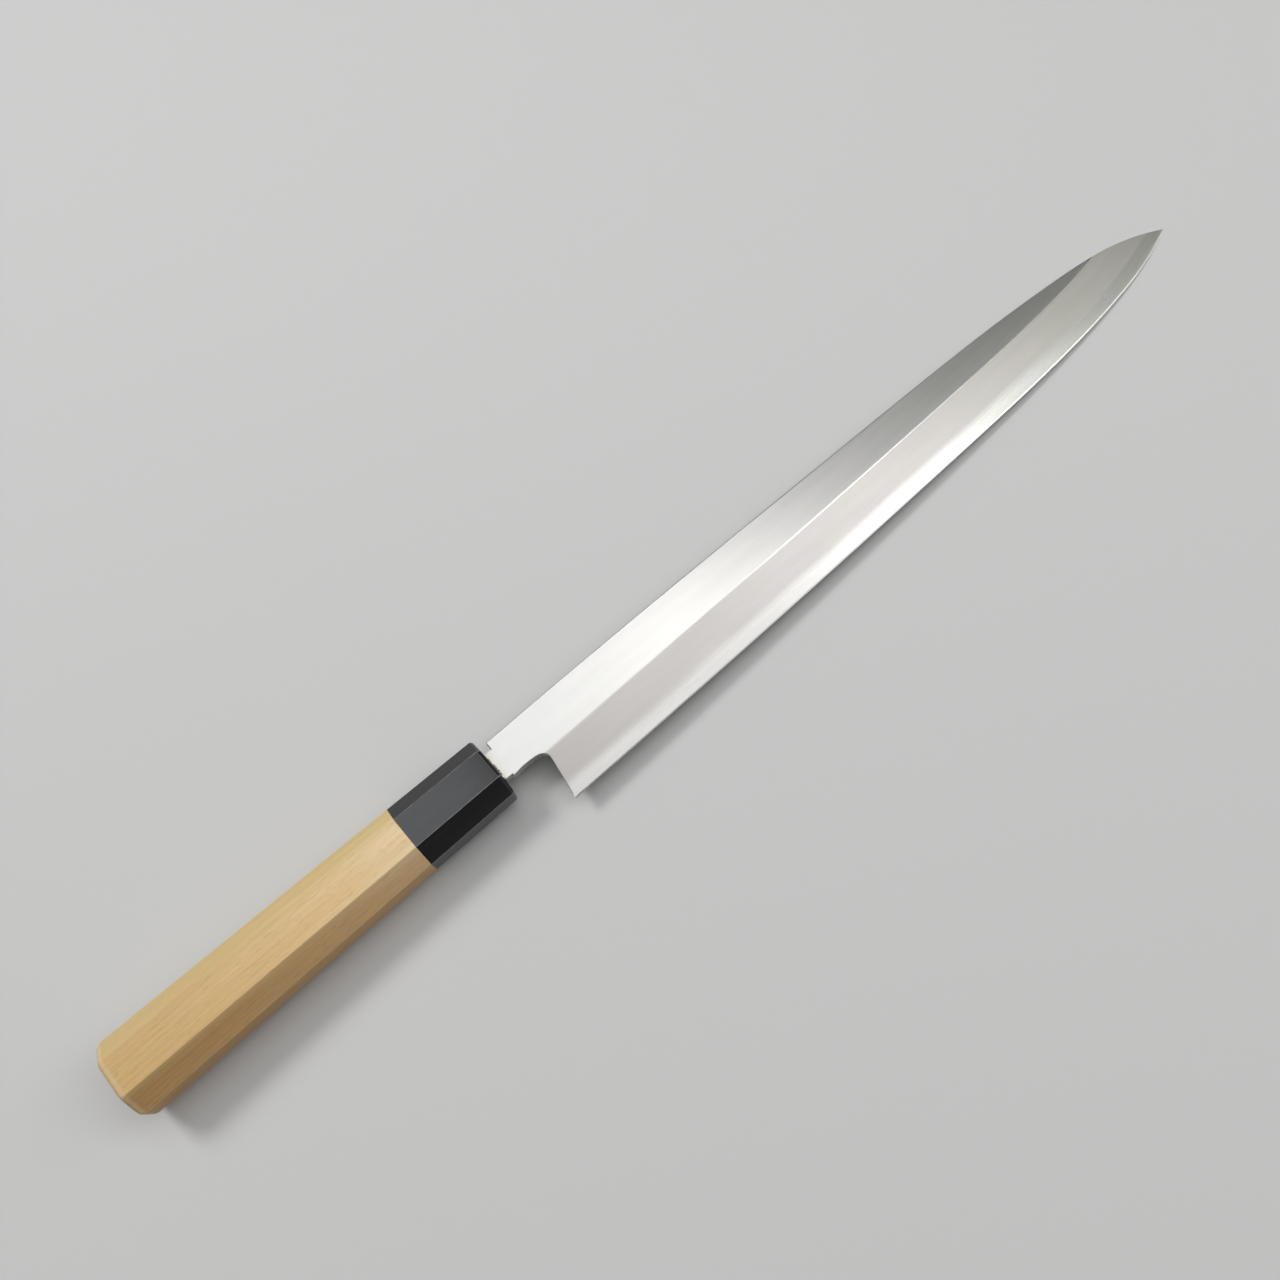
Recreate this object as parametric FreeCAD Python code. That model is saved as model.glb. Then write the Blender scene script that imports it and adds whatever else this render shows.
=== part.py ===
"""A long single-bevel slicing knife: laminated blade, horn ferrule and octagonal magnolia handle.

The knife is modelled straight, with +X from the ferrule's mouth to the tip, +Y to the spine and +Z out of
the bevelled face. It is then laid on its back as it rests on a table, on the ferrule's lower lip and the
tip, with the origin on the table under the middle of its box. All sizes are millimetres.
"""

import FreeCAD
import Part

import math
import os

V = FreeCAD.Vector

# Blade outline, from the ferrule's mouth (x = 0) and the handle's axis (y = 0)
machi_gap = 3.1           # tang left showing between the ferrule and the blade's shoulders
blade_length = 307.3      # shoulders to tip
heel_setback = 10.3       # shoulders to the heel corner
spine_height = 8.3        # handle axis up to the spine at the shoulders
heel_depth = 24.0         # handle axis down to the heel corner
tip_depth = 6.2           # handle axis down to the tip
neck_depth = 6.1          # handle axis down to the underside of the neck
heel_rake = 2.9           # how far the heel corner sits behind the top of the heel line
choil_radius = 3.0        # hollow corner between the neck and the heel

# The spine, as shares of its length from shoulders to tip and of its drop to the tip
spine_bend_shares = [(0.25, -0.032), (0.48, 0), (0.64, 0.035), (0.74, 0.086), (0.836, 0.203),
                     (0.92, 0.415), (0.966, 0.675)]
# The cutting edge, as shares of its length from heel to tip and of its rise to the tip
edge_bend_shares = [(0.22, 0.05), (0.43, 0.125), (0.63, 0.225), (0.78, 0.34), (0.88, 0.51), (0.945, 0.71)]

# Blade thickness and grinds
spine_thickness = 4.0     # at the shoulders
tip_thickness = 1.45      # of the front flat, carried on to the tip
bevel_width = 17.0        # cutting edge to ridge line
land_width = 0.45         # honed strip along the cutting edge
land_height = 0.16
steel_band = 5.0          # hard steel showing on the bevel, from the edge to the weld line
steel_lead = 3.5          # hard steel reaching into the neck, behind the heel corner
hollow_radius = 200.0     # of the wheel that grinds the hollow back
hollow_lead = 2.0         # hollow running out into the neck, behind the heel corner
hollow_tip_gap = 14.0     # flat left behind the tip on the back
spine_rim = 3.6           # flat left along the spine on the back
edge_rim = 1.6            # flat left along the edge on the back
hollow_shares = [0, 0.3, 0.55, 0.75, 0.9, 1]
grind_stations = 24       # rulings that carry a grind round the edge's curve
halvings = 50             # steps that find a height on a curve

# Tang
tang_length = 104.0       # ferrule mouth to the tang's end
tang_top = 5.4            # handle axis up to the tang's upper side, at the shoulders
tang_bottom = 5.3         # handle axis down to its lower side
tang_end_top = 2.6
tang_end_bottom = 2.2
tang_end_thickness = 2.4
tang_end_round = 1.6

# Handle
handle_length = 145.0     # ferrule mouth to butt
ferrule_length = 34.0
mouth_height = 22.2       # across the spine and edge sides
mouth_width = 20.0        # across the two broad sides
mouth_corner = 5.65       # taken off each corner to make the octagon
mouth_round = 1.3
mouth_ease = 0.8          # easing of the ridges where they reach the mouth
butt_height = 26.2
butt_width = 22.0
butt_corner = 6.6
butt_round = 3.2
butt_ease = 1.8           # easing of the ridges where they reach the butt
ridge_ease = 0.35         # easing of the ridges along the handle
round_rings = 5           # sections that carry a rim's rounding
tenon_diameter = 14.0
tenon_clearance = 0.05
tenon_recess = 0.4        # tenon's end below the ferrule's mouth
bed_thickness = 0.4       # resin round the tang
bed_depth = 2.0           # resin beyond the tang's end

overrun = 5.0             # how far cutting tools pass the work

# Places worked out from the sizes above
shoulder_x = machi_gap
heel_x = shoulder_x + heel_setback
tip_x = shoulder_x + blade_length
back_z = -spine_thickness / 2


def between(start, end, share):
    """The value a share of the way from start to end."""
    return start + (end - start) * share


def spline(points):
    """A smooth curve through points."""
    curve = Part.BSplineCurve()
    curve.interpolate(points)
    return curve


def polygon(points):
    """A closed wire with straight sides."""
    return Part.makePolygon(points + points[:1])


def tapered(start, end):
    """A closed solid between two matching wires, flat wherever their sides are straight."""
    faces = [Part.Face(start), Part.Face(end)]
    for near, far in zip(start.OrderedEdges, end.OrderedEdges):
        if isinstance(near.Curve, Part.Line):
            near_ends = [near.firstVertex(True).Point, near.lastVertex(True).Point]
            far_ends = [far.lastVertex(True).Point, far.firstVertex(True).Point]
            faces.append(Part.Face(polygon(near_ends + far_ends)))
        else:
            faces.append(Part.makeRuledSurface(near, far))
    shell = Part.Shell(faces)
    shell.sewShape()
    return Part.Solid(shell)


def smooth_loft(wires):
    """A closed solid that flows through wires."""
    return Part.makeLoft(wires, True, False)


def flat_thickness(x):
    """Thickness from the back to the front flat, which thins towards the tip."""
    return between(spine_thickness, tip_thickness, (x - shoulder_x) / blade_length)


def bevel_height(x, width):
    """Height of the bevel above the back, at a width from the cutting edge."""
    share = (width - land_width) / (bevel_width - land_width)
    return between(land_height, flat_thickness(x), share)


def land_rise(x, width):
    """Height of the honed land above the back, the same all along the blade."""
    return between(0, land_height, width / land_width)


def edge_curve():
    """The cutting edge, from heel to tip, in the plane of the back."""
    shares = [(0, 0)] + edge_bend_shares + [(1, 1)]
    return spline([V(between(heel_x, tip_x, along), between(-heel_depth, -tip_depth, rise), back_z)
                   for along, rise in shares])


def spine_curve():
    """The spine, from shoulders to tip, in the plane of the back."""
    shares = [(0, 0)] + spine_bend_shares + [(1, 1)]
    return spline([V(between(shoulder_x, tip_x, along), between(spine_height, -tip_depth, drop), back_z)
                   for along, drop in shares])


def height_on(curve, x):
    """Height of a curve that runs towards the tip, at a place along the blade."""
    low = curve.FirstParameter
    high = curve.LastParameter
    for _ in range(halvings):
        middle = (low + high) / 2
        if curve.value(middle).x < x:
            low = middle
        else:
            high = middle
    return curve.value(low).y


def blade_blank():
    """The blade's outline from shoulders to tip, cut from bar, with the choil rounded."""
    edge = edge_curve()
    spine = spine_curve()
    heel = edge.value(edge.FirstParameter)
    choil = V(heel_x + heel_rake, -neck_depth, back_z)
    shoulder_foot = V(shoulder_x, -neck_depth, back_z)
    shoulder_top = spine.value(spine.FirstParameter)
    sides = [
        spine.toShape(),
        edge.toShape(),
        Part.LineSegment(heel, choil).toShape(),
        Part.LineSegment(choil, shoulder_foot).toShape(),
        Part.LineSegment(shoulder_foot, shoulder_top).toShape(),
    ]
    outline = Part.Wire(Part.__sortEdges__(sides))
    blank = Part.Face(outline).extrude(V(0, 0, spine_thickness))
    upright = Part.Vertex(choil + V(0, 0, spine_thickness / 2))
    corner = min(blank.Edges, key=lambda side: side.distToShape(upright)[0])
    return blank.makeFillet(choil_radius, [corner])


def side_tool(points):
    """A cutter with a profile of (x, z) points, wider than the blade."""
    low = -heel_depth - overrun
    high = max(spine_height, heel_depth) + overrun
    profile = Part.Face(polygon([V(x, low, z) for x, z in points]))
    return profile.extrude(V(0, high - low, 0))


def front_flat_tool():
    """Everything in front of the tapered front flat."""
    ends = [shoulder_x, tip_x + overrun]
    top = back_z + spine_thickness + overrun
    flat = [(x, back_z + flat_thickness(x)) for x in ends]
    return side_tool(flat + [(ends[1], top), (ends[0], top)])


def grind_tool(height_at, width):
    """Everything in front of a grind that follows the cutting edge.

    height_at gives the grind's height over the back, at a place and at a width from the edge.
    """
    edge = edge_curve()
    outer = []
    inner = []
    for station in range(-1, grind_stations + 2):
        on_edge = min(max(station, 0), grind_stations)
        parameter = between(edge.FirstParameter, edge.LastParameter, on_edge / grind_stations)
        along = V(*edge.tangent(parameter)[0])
        inward = V(-along.y, along.x, 0)
        foot = edge.value(parameter) + along * ((station - on_edge) * overrun)
        ridge_x = foot.x + inward.x * bevel_width
        for points, reach in ((outer, -overrun), (inner, width + overrun)):
            points.append(foot + inward * reach + V(0, 0, height_at(ridge_x, reach)))
    grind = Part.makeRuledSurface(spline(outer).toShape(), spline(inner).toShape())
    return grind.extrude(V(0, 0, spine_thickness * 2 + overrun))


def hollow_section(x, low, high):
    """Section of the hollow's cutter: an arc of the wheel above the back, open below it."""
    depth = (high - low) ** 2 / (hollow_radius * 8)
    arc = Part.Arc(V(x, low, back_z), V(x, (low + high) / 2, back_z + depth), V(x, high, back_z))
    below = back_z - overrun
    rest = [V(x, high, back_z), V(x, high, below), V(x, low, below), V(x, low, back_z)]
    return Part.Wire([arc.toShape()] + Part.makePolygon(rest).Edges)


def hollow_tool():
    """The shallow hollow of the back, from its run-out in the neck to behind the tip."""
    edge = edge_curve()
    spine = spine_curve()
    sections = []
    for share in hollow_shares:
        x = between(heel_x, tip_x - hollow_tip_gap, share)
        sections.append(hollow_section(x, height_on(edge, x) + edge_rim, height_on(spine, x) - spine_rim))
    run_out = hollow_section(heel_x - hollow_lead, edge_rim - neck_depth, spine_height - spine_rim)
    return smooth_loft(sections).fuse(tapered(run_out, sections[0]))


def steel_tool():
    """The hard-steel side of the weld, which shows on the bevel at an even width from the edge."""
    ends = [heel_x - steel_lead, tip_x + overrun]
    below = back_z - overrun
    weld = [(x, back_z + bevel_height(x, steel_band)) for x in ends]
    return side_tool(weld + [(ends[1], below), (ends[0], below)])


def tang_section(x, growth):
    """Section of the tang, grown all round, at a place along its straight taper."""
    share = (shoulder_x - x) / (shoulder_x + tang_length)
    top = between(tang_top, tang_end_top, share) + growth
    bottom = -between(tang_bottom, tang_end_bottom, share) - growth
    side = between(spine_thickness, tang_end_thickness, share) / 2 + growth
    return polygon([V(x, top, side), V(x, bottom, side), V(x, bottom, -side), V(x, top, -side)])


def tang():
    """The tapered tang, with the two corners of its end rounded."""
    solid = tapered(tang_section(shoulder_x, 0), tang_section(-tang_length, 0))
    corners = []
    for y in (tang_end_top, -tang_end_bottom):
        upright = Part.Vertex(V(-tang_length, y, 0))
        corners.append(min(solid.Edges, key=lambda side: side.distToShape(upright)[0]))
    return solid.makeFillet(tang_end_round, corners)


def tang_slot(start_x):
    """The space for the tang and its bed, from a place near the ferrule's mouth to the bed's end."""
    end_x = -tang_length - bed_depth
    return tapered(tang_section(start_x, bed_thickness), tang_section(end_x, bed_thickness))


def octagon(x, inset, ease):
    """Section of the handle, which grows evenly from mouth to butt.

    inset draws all sides in, and ease is the radius of the ridges.
    """
    share = -x / handle_length
    side = between(mouth_height, butt_height, share) / 2 - inset
    face = between(mouth_width, butt_width, share) / 2 - inset
    corner = between(mouth_corner, butt_corner, share) - inset * (2 - math.sqrt(2))
    half = [(side, face - corner), (side - corner, face), (corner - side, face), (-side, face - corner)]
    ridges = [V(x, y, z) for y, z in half + [(-y, -z) for y, z in half]]
    half_turn = math.pi / len(ridges)
    arcs = []
    for ridge, before, after in zip(ridges, ridges[-1:] + ridges[:-1], ridges[1:] + ridges[:1]):
        back = (before - ridge).normalize()
        on = (after - ridge).normalize()
        reach = ease * math.tan(half_turn)
        dip = ease / math.cos(half_turn) - ease
        arcs.append((ridge + back * reach, ridge + (back + on).normalize() * dip, ridge + on * reach))
    edges = []
    for arc, following in zip(arcs, arcs[1:] + arcs[:1]):
        edges.append(Part.Arc(*arc).toShape())
        edges.append(Part.LineSegment(arc[-1], following[0]).toShape())
    return Part.Wire(edges)


def handle_piece(plain_x, round_x, radius, ease):
    """A length of the octagonal handle, plain at one end and rounded at the other."""
    outward = math.copysign(1, round_x - plain_x)
    rings = []
    for ring in range(round_rings + 1):
        share = ring / round_rings
        turn = share * math.pi / 2
        x = round_x - outward * radius * (1 - math.sin(turn))
        rings.append(octagon(x, radius * (1 - math.cos(turn)), between(ridge_ease, ease, share)))
    body = tapered(octagon(plain_x, 0, ridge_ease), rings[0])
    return body.fuse(smooth_loft(rings))


def tenon(radius, recess):
    """The round tenon inside the ferrule, or its bore."""
    return Part.makeCylinder(radius, ferrule_length - recess, V(-ferrule_length, 0, 0), V(1, 0, 0))


def make_blade():
    """The soft-iron body with its tang, and the hard steel welded to its back and edge."""
    blade = blade_blank().cut(front_flat_tool())
    blade = blade.cut(grind_tool(bevel_height, bevel_width))
    blade = blade.cut(grind_tool(land_rise, land_width))
    blade = blade.cut(hollow_tool())
    steel = blade.common(steel_tool())
    iron = blade.cut(steel_tool()).fuse(tang()).removeSplitter()
    return iron, steel


def make_ferrule():
    """The horn collar, bored for the tenon."""
    collar = handle_piece(-ferrule_length, 0, mouth_round, mouth_ease)
    return collar.cut(tenon(tenon_diameter / 2 + tenon_clearance, 0))


def make_grip():
    """The wooden handle with its tenon and the slot burnt for the tang."""
    body = handle_piece(-ferrule_length, -handle_length, butt_round, butt_ease)
    return body.fuse(tenon(tenon_diameter / 2, tenon_recess)).cut(tang_slot(overrun))


def make_bedding():
    """The resin between the tang and its slot, flush with the tenon's end."""
    return tang_slot(-tenon_recess).cut(tang())


def rest_pitch():
    """Angle, nose down, at which the ferrule's rounded lower lip and the tip both touch the table."""
    lip = V(-mouth_round, 0, mouth_round - mouth_width / 2)
    reach = V(tip_x, 0, back_z) - lip
    return math.atan2(reach.z, reach.x) + math.asin(mouth_round / reach.Length)


def laid_on_table(pieces):
    """The pieces turned to their rest, with the origin on the table under the middle of their box."""
    turned = {}
    for name, shape in pieces.items():
        turned[name] = shape.rotated(V(0, 0, 0), V(0, 1, 0), math.degrees(rest_pitch()))
    box = Part.Compound(list(turned.values())).optimalBoundingBox(False, False)
    shift = V(-box.Center.x, -box.Center.y, -box.ZMin)
    return {name: shape.translated(shift) for name, shape in turned.items()}


def main():
    """Build every piece and write it out."""
    os.makedirs("parts", exist_ok=True)
    iron, steel = make_blade()
    pieces = {
        "blade_iron": iron,
        "blade_edge_steel": steel,
        "ferrule": make_ferrule(),
        "grip": make_grip(),
        "tang_bedding": make_bedding(),
    }
    for name, shape in laid_on_table(pieces).items():
        solid = shape.Solids[0]
        print(name, len(shape.Solids), shape.isValid(), round(solid.Volume), solid.BoundBox)
        solid.exportStep("parts/" + name + ".step")


main()
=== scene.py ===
"""Looks of a long single-bevel slicing knife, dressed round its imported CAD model.

The blade, ferrule and handle are drawn straight in millimetres, with +X from the ferrule's mouth to the tip,
+Y to the spine and +Z out of the bevelled face. Lay then puts them down on the table, in metres, where the
CAD pieces are.
"""

import logging
import math
from dataclasses import dataclass, field
from enum import Enum

import bmesh
import bpy
import numpy as np
from mathutils import Matrix, Vector


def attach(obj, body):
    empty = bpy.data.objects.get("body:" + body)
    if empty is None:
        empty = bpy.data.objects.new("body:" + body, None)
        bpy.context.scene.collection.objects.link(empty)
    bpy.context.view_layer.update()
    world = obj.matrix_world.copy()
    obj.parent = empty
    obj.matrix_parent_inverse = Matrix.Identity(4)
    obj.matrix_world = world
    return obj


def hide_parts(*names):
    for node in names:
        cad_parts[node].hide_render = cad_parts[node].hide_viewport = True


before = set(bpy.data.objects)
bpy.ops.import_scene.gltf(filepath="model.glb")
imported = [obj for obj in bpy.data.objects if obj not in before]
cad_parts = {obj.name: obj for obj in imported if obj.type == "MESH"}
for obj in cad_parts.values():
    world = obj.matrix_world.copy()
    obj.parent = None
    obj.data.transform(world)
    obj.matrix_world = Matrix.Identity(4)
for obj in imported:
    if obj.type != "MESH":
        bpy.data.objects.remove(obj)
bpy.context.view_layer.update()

Mesh = bmesh.types.BMesh
Socket = bpy.types.NodeSocket

MM = 0.001
BODY = "root"
LOG = logging.getLogger("knife")

ORIGIN = (0.0, 0.0, 0.0)
UNIT = (1.0, 1.0, 1.0)
WHITE = (1.0, 1.0, 1.0, 1.0)

# Numbers of the Mix node's share, its two inputs and its output, for colours and for plain numbers
COLOUR_MIX = (0, 6, 7, 2)
NUMBER_MIX = (0, 2, 3, 0)

# Limits that the meshes share: degrees, then millimetres
SHARP_TURN = 34.0
SAME_POINT = 0.0005
CUT_SLACK = 0.0001


# Node materials


class Blend(Enum):
    """How a mix combines its two colours."""

    MIX = "MIX"
    MULTIPLY = "MULTIPLY"


@dataclass(frozen=True)
class Pattern:
    """A noise: its scale on each axis, its detail, its roughness and its shift."""

    scale: tuple
    detail: float = 2.0
    roughness: float = 0.5
    shift: tuple = ORIGIN


def metres(*millimetres: float) -> tuple:
    """Millimetres as metres."""
    return tuple(value * MM for value in millimetres)


class Nodes:
    """A node tree, put together a step at a time."""

    def __init__(self, tree: bpy.types.NodeTree) -> None:
        """Work on a tree."""
        self.tree = tree

    def node(self, kind: str, inputs: dict | None = None, **settings: object) -> bpy.types.Node:
        """Add a node.

        Args:
            kind: The node's type name.
            inputs: Values or sockets, by input name or number.
            settings: The node's own properties.

        Returns:
            The new node.
        """
        made = self.tree.nodes.new(kind)
        for key, value in settings.items():
            setattr(made, key, value)
        for key, value in (inputs or {}).items():
            self.feed(made.inputs[key], value)
        return made

    def feed(self, socket: Socket, value: object) -> None:
        """Link a socket to another, or set its number.

        Args:
            socket: The input.
            value: A socket or a number.
        """
        if isinstance(value, Socket):
            self.tree.links.new(value, socket)
        else:
            socket.default_value = value

    def mapped(self, vector: Socket, turn: tuple, scale: tuple, shift: tuple) -> Socket:
        """A vector through a Mapping node."""
        inputs = {"Vector": vector, "Rotation": turn, "Scale": scale, "Location": shift}
        return self.node("ShaderNodeMapping", inputs).outputs["Vector"]

    def parts(self, vector: Socket) -> tuple:
        """The three numbers of a vector."""
        return tuple(self.node("ShaderNodeSeparateXYZ", {"Vector": vector}).outputs)

    def length(self, vector: Socket) -> Socket:
        """The length of a vector."""
        return self.node("ShaderNodeVectorMath", {0: vector}, operation="LENGTH").outputs["Value"]

    def noise(self, vector: Socket, pattern: Pattern, turn: tuple = ORIGIN) -> Socket:
        """Smooth noise between 0 and 1.

        Args:
            vector: The coordinates.
            pattern: The noise.
            turn: Rotation of the coordinates, in radians.

        Returns:
            The number socket.
        """
        placed = self.mapped(vector, turn, pattern.scale, pattern.shift)
        inputs = {"Vector": placed, "Scale": 1.0, "Detail": pattern.detail, "Roughness": pattern.roughness}
        return self.node("ShaderNodeTexNoise", inputs).outputs["Fac"]

    def math(self, operation: str, *values: object) -> Socket:
        """One step of arithmetic.

        Args:
            operation: Its name.
            values: Numbers or sockets.

        Returns:
            The number socket.
        """
        made = self.node("ShaderNodeMath", operation=operation)
        for socket, value in zip(made.inputs, values):
            self.feed(socket, value)
        return made.outputs["Value"]

    def times(self, first: object, second: object) -> Socket:
        """Two numbers multiplied."""
        return self.math("MULTIPLY", first, second)

    def plus(self, first: object, second: object) -> Socket:
        """Two numbers added."""
        return self.math("ADD", first, second)

    def larger(self, first: object, second: object) -> Socket:
        """The larger of two numbers."""
        return self.math("MAXIMUM", first, second)

    def span(self, value: Socket, low: float, high: float, to_low: float = 0.0, to_high: float = 1.0,
             soft: bool = True) -> Socket:
        """Carry a number from one range to another.

        Args:
            value: The number.
            low: Start of its range.
            high: End of its range.
            to_low: Start of the new range.
            to_high: End of the new range.
            soft: Ease in and out.

        Returns:
            The new number, held inside the new range.
        """
        inputs = {"Value": value, "From Min": low, "From Max": high, "To Min": to_low, "To Max": to_high}
        kind = "SMOOTHSTEP" if soft else "LINEAR"
        return self.node("ShaderNodeMapRange", inputs, interpolation_type=kind).outputs["Result"]

    def mixed(self, sockets: tuple, values: list, **settings: object) -> Socket:
        """Feed a Mix node.

        Args:
            sockets: Numbers of its inputs and, last, of its output.
            values: What goes into the inputs.
            settings: The node's own properties.

        Returns:
            The output.
        """
        made = self.node("ShaderNodeMix", clamp_factor=True, **settings)
        for number, value in zip(sockets, values):
            self.feed(made.inputs[number], value)
        return made.outputs[sockets[-1]]

    def mix(self, share: object, first: object, second: object, how: Blend = Blend.MIX) -> Socket:
        """Mix two colours.

        Args:
            share: How much of the second colour.
            first: A colour or socket.
            second: A colour or socket.
            how: The blend.

        Returns:
            The colour socket.
        """
        values = [(*value, 1.0) if isinstance(value, tuple) else value for value in (share, first, second)]
        return self.mixed(COLOUR_MIX, values, data_type="RGBA", blend_type=how.value)

    def tint(self, colour: object, tone: object) -> Socket:
        """A colour multiplied by another."""
        return self.mix(1.0, colour, tone, Blend.MULTIPLY)

    def blend(self, share: object, first: object, second: object) -> Socket:
        """Mix two numbers."""
        return self.mixed(NUMBER_MIX, [share, first, second], data_type="FLOAT")

    def seen(self) -> Socket:
        """Tell a look at a surface from light that it only gives.

        Returns:
            1 for a look, straight, in a gloss or through glass, and 0 for light.
        """
        path = self.node("ShaderNodeLightPath").outputs
        direct = self.larger(path["Is Camera Ray"], path["Is Glossy Ray"])
        return self.larger(direct, path["Is Transmission Ray"])


class Recipe(Nodes):
    """One node material round a Principled shader."""

    def __init__(self, name: str) -> None:
        """Start an empty material.

        Args:
            name: The material's name.
        """
        self.material = bpy.data.materials.new(name)
        self.material.use_nodes = True
        super().__init__(self.material.node_tree)
        self.shader = self.tree.nodes["Principled BSDF"]

    def set(self, **values: object) -> None:
        """Feed the shader's inputs, with _ for a blank in a name."""
        for key, value in values.items():
            self.feed(self.shader.inputs[key.replace("_", " ")], value)

    def place(self, turn: tuple = ORIGIN, scale: tuple = UNIT, shift: tuple = ORIGIN) -> Socket:
        """Object coordinates, scaled, turned in radians and then shifted."""
        coords = self.node("ShaderNodeTexCoord").outputs["Object"]
        return self.mapped(coords, turn, scale, shift)

    def speckle(self, pattern: Pattern, turn: tuple = ORIGIN) -> Socket:
        """Noise on Object coordinates."""
        coords = self.node("ShaderNodeTexCoord").outputs["Object"]
        return self.noise(coords, pattern, turn)

    def attribute(self, name: str) -> Socket:
        """The vector of a piece's own attribute."""
        return self.node("ShaderNodeAttribute", attribute_name=name).outputs["Vector"]

    def bump(self, height: Socket, depth: float, strength: float = 1.0) -> Socket:
        """A normal from a height between 0 and 1 and its depth in metres."""
        inputs = {"Height": height, "Distance": depth, "Strength": strength}
        return self.node("ShaderNodeBump", inputs).outputs["Normal"]


@dataclass(frozen=True)
class BladeFinish:
    """Laminated steel: satin flat, misty iron bevel and brighter hard steel along the edge.

    Spans hold the start and end of a range, and then, where given, what it is carried to.
    """

    name: str = "laminated_steel"
    flat_colour: tuple = (0.515, 0.510, 0.497)
    iron_colour: tuple = (0.458, 0.440, 0.424)
    steel_colour: tuple = (0.522, 0.515, 0.503)
    line_colour: tuple = (0.545, 0.540, 0.525)
    back_colour: tuple = (0.535, 0.530, 0.520)
    flat_roughness: float = 0.30
    iron_roughness: float = 0.39
    steel_roughness: float = 0.25
    line_roughness: float = 0.20
    back_roughness: float = 0.27
    ridge_mm: float = 17.0
    ridge_soft_mm: float = 0.1
    ridge_line_mm: tuple = (16.62, 16.74, 16.94, 17.04)
    ridge_line_from_mm: tuple = (85.0, 135.0)
    weld_mm: float = 5.0
    weld_soft_mm: float = 1.9
    weld_fade_mm: tuple = (255.0, 305.0)
    weld_fade: float = 0.55
    weld_wander_mm: float = 0.3
    wander: Pattern = Pattern((28.0, 0.0, 0.0), 1.0)
    wander_span: tuple = (0.3, 0.7)
    tip_tone: tuple = (0.965, 0.985, 0.935)
    tip_tone_from_mm: tuple = (150.0, 270.0)
    mouth_x: float = -0.08255
    mottle: Pattern = Pattern((900.0, 900.0, 900.0), 4.0, 0.65)
    neck_mm: tuple = (0.6, 4.2)
    neck_colour: tuple = (0.56, 0.54, 0.48)
    neck_span: tuple = (0.3, 0.6)
    neck_roughening: float = 0.08
    # Just ahead of the collar's mouth the neck is near black: burnt scale, and painted shadow in the gap at
    # the mouth.
    scale_and_gap_shadow_ragged_mm: float = 0.55
    scale_and_gap_shadow_span: tuple = (0.3, 0.7)
    scale_and_gap_shadow_mm: tuple = (0.2, 0.7)
    scale_and_gap_shadow_share: float = 0.85
    scale_and_gap_shadow_colour: tuple = (0.075, 0.062, 0.045)
    scale_roughening: float = 0.3
    cloud: Pattern = Pattern((30.0, 240.0, 1.0), 4.0, 0.6)
    cloud_span: tuple = (0.25, 0.75, 0.95, 1.04)
    streak: Pattern = Pattern((7.0, 1500.0, 1.0), 3.0, 0.6)
    streak_span: tuple = (0.25, 0.75, 0.975, 1.025)
    streak_roughening: tuple = (0.2, 0.8, -0.03, 0.03)
    satin: Pattern = Pattern((10.0, 3600.0, 3600.0), 3.0, 0.6)
    scratch_depth: float = 0.0000007
    iron_scratch: float = 0.25

    def material(self) -> bpy.types.Material:
        """Build the material.

        Returns:
            The finished material.
        """
        mat = Recipe(self.name)
        grind = mat.attribute("grind")
        along, across, behind = mat.parts(grind)
        wander = self.weld_wander_mm * MM
        drift = mat.span(mat.noise(grind, self.wander), *self.wander_span, -wander, wander, soft=False)
        weld = metres(self.weld_mm - self.weld_soft_mm, self.weld_mm + self.weld_soft_mm)
        in_iron = mat.span(mat.plus(across, drift), *weld)
        in_iron = mat.larger(in_iron, mat.span(along, *metres(*self.weld_fade_mm), 0.0, self.weld_fade))
        ridge = metres(self.ridge_mm - self.ridge_soft_mm, self.ridge_mm + self.ridge_soft_mm)
        in_flat = mat.span(across, *ridge)
        start, full, fall, end = metres(*self.ridge_line_mm)
        on_line = mat.times(mat.span(across, start, full), mat.span(across, fall, end, 1.0, 0.0))
        on_line = mat.times(on_line, mat.span(along, *metres(*self.ridge_line_from_mm)))

        cloud = mat.noise(grind, self.cloud)
        streak = mat.noise(grind, self.streak)
        satin = mat.speckle(self.satin)
        mottle = mat.speckle(self.mottle)
        reach = mat.parts(mat.place())[0]
        near = mat.span(reach, *(self.mouth_x + d for d in metres(*self.neck_mm)), 1.0, 0.0)
        stain = mat.times(near, mat.span(mottle, *self.neck_span))
        # Near-black band at the collar's mouth: burnt scale, and painted shadow in the gap.
        ragged = self.scale_and_gap_shadow_ragged_mm * MM
        rim = mat.plus(reach, mat.span(mottle, *self.scale_and_gap_shadow_span, -ragged, ragged, soft=False))
        scale = mat.span(rim, *(self.mouth_x + d for d in metres(*self.scale_and_gap_shadow_mm)), self.scale_and_gap_shadow_share, 0.0)

        colour = mat.mix(in_iron, self.steel_colour, self.iron_colour)
        colour = mat.mix(in_flat, colour, self.flat_colour)
        colour = mat.mix(on_line, colour, self.line_colour)
        to_tip = mat.span(along, *metres(*self.tip_tone_from_mm))
        colour = mat.mix(to_tip, colour, mat.tint(colour, self.tip_tone))
        colour = mat.mix(behind, colour, self.back_colour)
        colour = mat.mix(stain, colour, self.neck_colour)
        # Burnt scale, and painted shadow at the collar's mouth.
        colour = mat.mix(scale, colour, self.scale_and_gap_shadow_colour)
        tone = mat.span(cloud, *self.cloud_span, soft=False)
        shade = mat.times(tone, mat.span(streak, *self.streak_span, soft=False))
        grey = mat.node("ShaderNodeCombineColor", {0: shade, 1: shade, 2: shade}).outputs["Color"]
        colour = mat.tint(colour, grey)

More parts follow.
